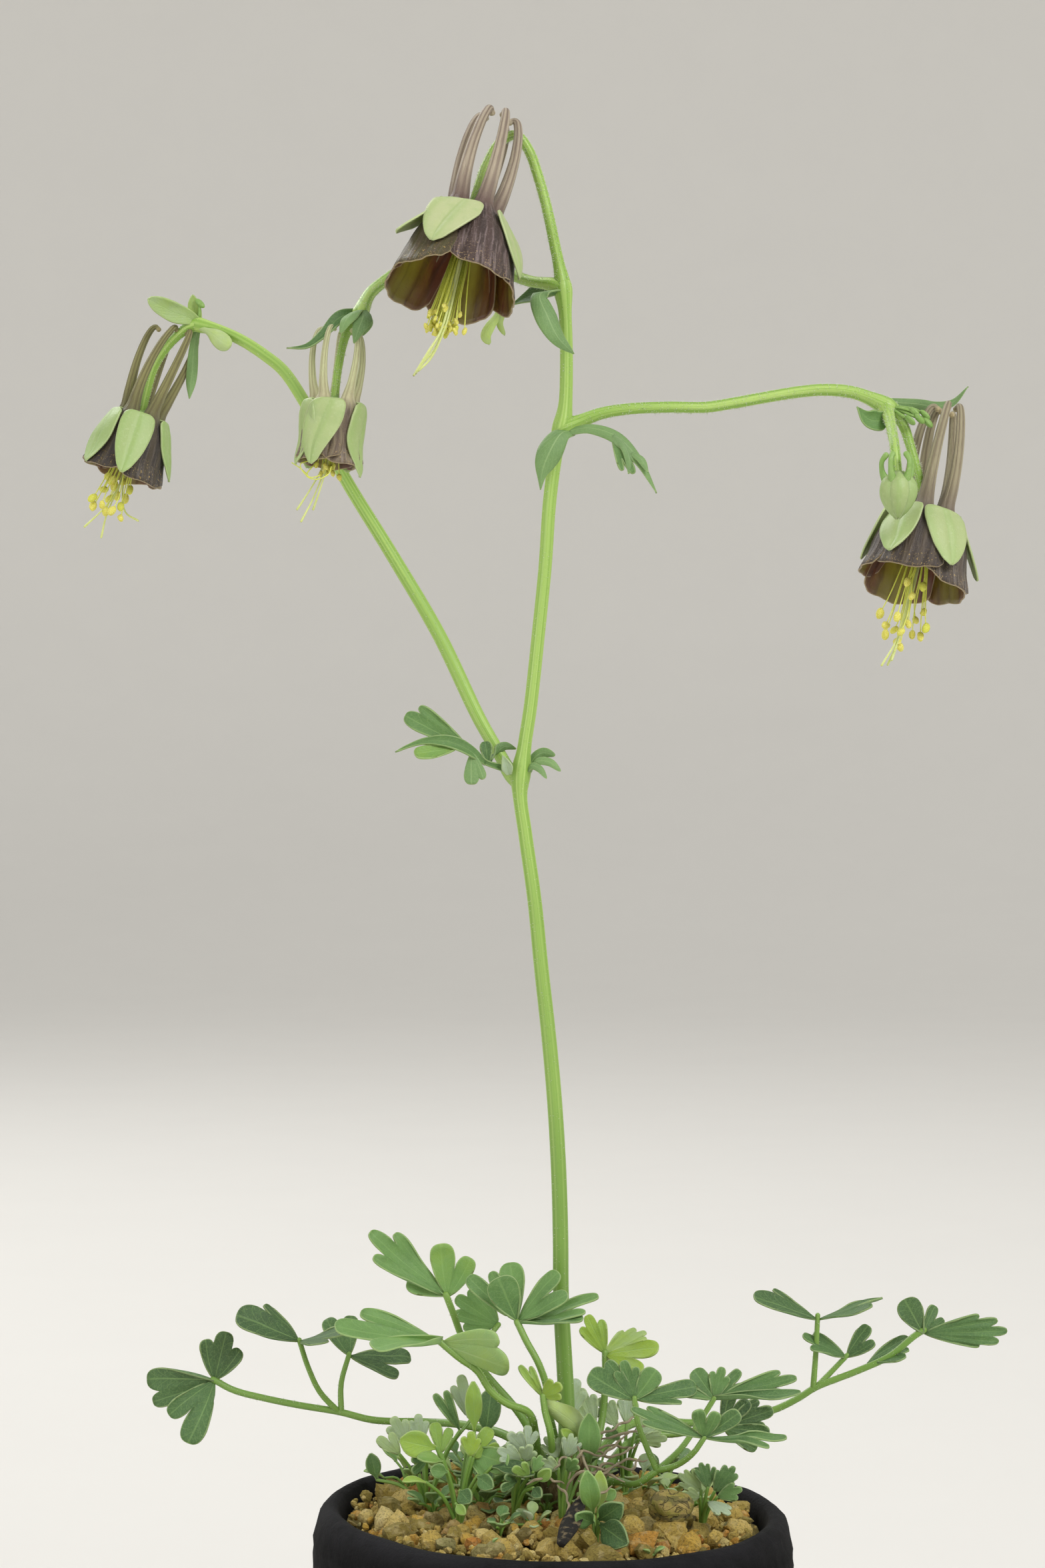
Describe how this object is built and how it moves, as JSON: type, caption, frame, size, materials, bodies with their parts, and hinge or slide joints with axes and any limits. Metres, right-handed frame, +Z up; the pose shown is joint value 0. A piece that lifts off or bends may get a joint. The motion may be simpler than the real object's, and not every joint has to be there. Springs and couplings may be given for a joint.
{
  "type": "potted columbine plant",
  "caption": "Flowering columbine with nodding, long-spurred brown and green flowers, lobed leaves and a round black pot topped with gravel.",
  "frame": {"origin": "middle of the pot's flat resting face, on the surface it stands on", "axes": "+Z up; -Y towards the front, from where the open top flower is seen; +X to the right, towards the branch that carries a bud"},
  "size_m": [0.1588, 0.079, 0.2962],
  "materials": {
    "pot": "black unglazed hand-made stoneware, rough and matt",
    "soil": "dark gritty potting soil",
    "gravel": "dry pumice and baked clay grit, tan to orange, matt",
    "crown": "short rootstock wrapped in dry brown leaf bases",
    "stem": "fresh yellow-green stem, satin, with fine pale hairs",
    "leaf": "grey-green matt leaf with a thin pale edge",
    "young_leaf": "soft yellow-green young leaf",
    "sepal": "pale celery green sepal, satin, faintly veined",
    "petal": "dark chocolate-mauve petal with a silvery veined bloom",
    "stamen": "yellow-green filaments and dusty yellow anthers"
  },
  "bodies": {
    "root": {"pot": "pot", "soil": "soil", "gravel": "gravel", "large_stone": "gravel", "crown": "crown", "main_stem": "stem", "top_stalk": "stem", "left_branch": "stem", "left_stalk": "stem", "upper_branch": "stem", "upper_stalk": "stem", "right_branch": "stem", "right_stalk": "stem", "bud_stalk": "stem", "low_node_leaf": "leaf", "middle_node_leaf": "leaf", "top_node_leaf": "leaf", "upper_node_leaf": "leaf", "left_node_leaf": "leaf", "right_node_leaf": "leaf", "right_node_bract": "leaf", "far_left_leaf": "leaf", "front_left_leaf": "leaf", "left_leaf": "leaf", "middle_leaf": "leaf", "front_right_leaf": "leaf", "back_right_leaf": "leaf", "far_right_leaf": "leaf", "yellow_leaf": "young_leaf", "young_leaf": "young_leaf", "left_seedling": "young_leaf", "top_flower_calyx": "sepal", "upper_flower_calyx": "sepal", "left_flower_calyx": "sepal", "right_flower_calyx": "sepal", "bud": "sepal", "top_flower_petal_1": "petal", "top_flower_petal_2": "petal", "top_flower_petal_3": "petal", "top_flower_petal_4": "petal", "top_flower_petal_5": "petal", "upper_flower_petal_1": "petal", "upper_flower_petal_2": "petal", "upper_flower_petal_3": "petal", "upper_flower_petal_4": "petal", "upper_flower_petal_5": "petal", "left_flower_petal_1": "petal", "left_flower_petal_2": "petal", "left_flower_petal_3": "petal", "left_flower_petal_4": "petal", "left_flower_petal_5": "petal", "right_flower_petal_1": "petal", "right_flower_petal_2": "petal", "right_flower_petal_3": "petal", "right_flower_petal_4": "petal", "right_flower_petal_5": "petal", "top_flower_stamens": "stamen", "upper_flower_stamens": "stamen", "left_flower_stamens": "stamen", "right_flower_stamens": "stamen"}
  },
  "joints": []
}
